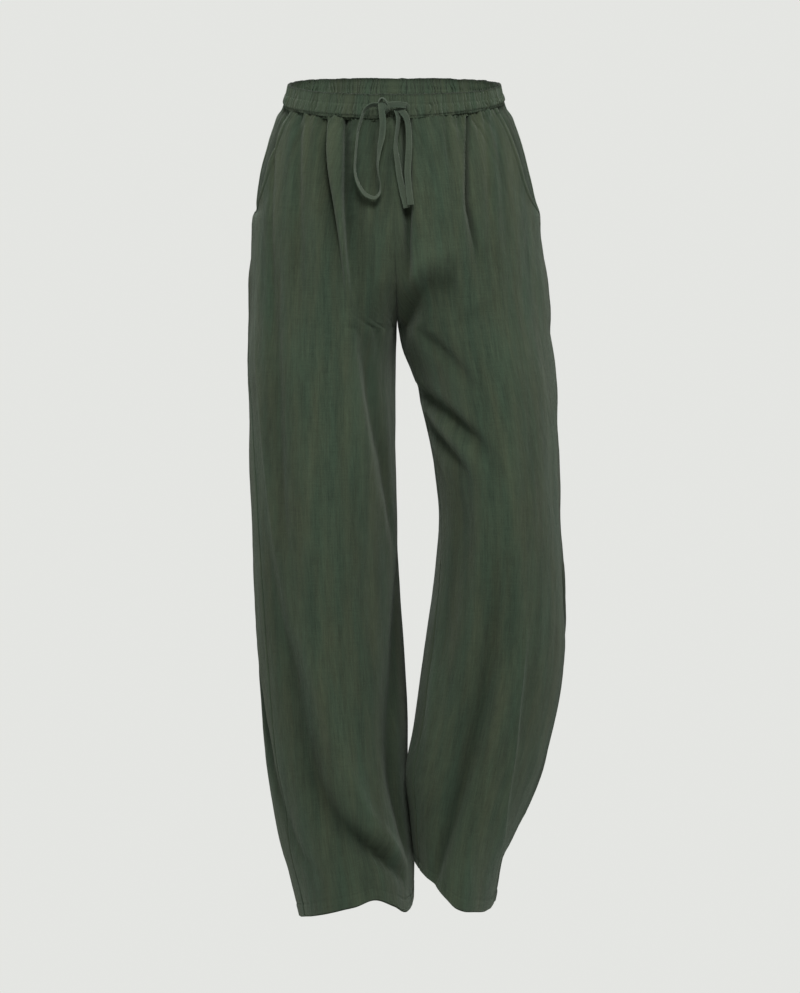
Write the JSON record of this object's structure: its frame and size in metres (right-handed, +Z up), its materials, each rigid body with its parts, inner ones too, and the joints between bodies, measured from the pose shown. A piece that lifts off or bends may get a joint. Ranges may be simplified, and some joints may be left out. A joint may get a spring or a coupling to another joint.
{
  "type": "linen drawstring trousers",
  "caption": "Wide-legged pull-on trousers in dark green linen, with a gathered waistband, slanted side pockets and a flat tied drawstring, filled out as if worn and hollow inside.",
  "frame": {"origin": "middle of the waistband's ring, where the wearer's waist holds the trousers", "axes": "+X is the wearer's left, -Y is the front and +Z is up"},
  "size_m": [0.3948, 0.2611, 1.0493],
  "materials": {
    "linen": "matt plain-woven linen",
    "drawstring": "matt woven tape"
  },
  "bodies": {
    "root": {"front_left": "linen", "front_right": "linen", "back_left": "linen", "back_right": "linen", "pocket_facing_left": "linen", "pocket_facing_right": "linen", "hem_left": "linen", "hem_right": "linen", "waistband": "linen", "drawstring_loop": "drawstring", "drawstring_tail_left": "drawstring", "drawstring_tail_right": "drawstring", "drawstring_knot": "drawstring"}
  },
  "joints": []
}
